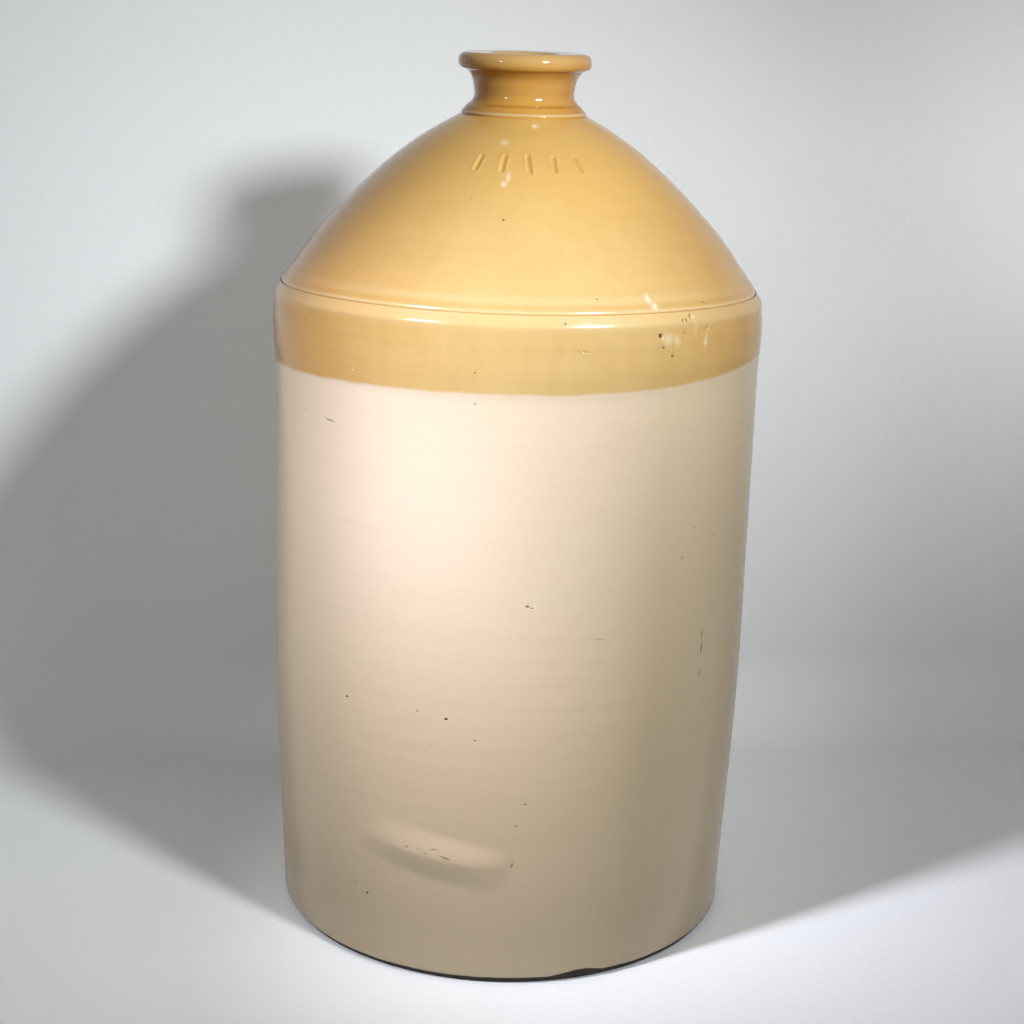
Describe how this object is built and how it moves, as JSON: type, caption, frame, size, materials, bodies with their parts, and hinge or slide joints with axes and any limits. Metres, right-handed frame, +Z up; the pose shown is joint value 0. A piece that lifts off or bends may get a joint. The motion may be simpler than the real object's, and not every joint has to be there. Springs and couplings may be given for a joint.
{
  "type": "stoneware flagon",
  "caption": "Large two-tone glazed stoneware flagon: an upright cylinder with a seated domed shoulder and a narrow rolled-lip neck, for storing liquids.",
  "frame": {"origin": "middle of the foot, on the ground", "axes": "+Z up along the thrown axis, -Y towards the side with the blister"},
  "size_m": [0.2928, 0.2928, 0.525],
  "materials": {
    "cream_glaze": "glossy oatmeal cream glaze over buff stoneware, with a dipped ochre band at the top",
    "ochre_glaze": "glossy honey ochre glaze over buff stoneware"
  },
  "bodies": {
    "root": {"body": "cream_glaze", "shoulder": "ochre_glaze", "neck": "ochre_glaze"}
  },
  "joints": []
}
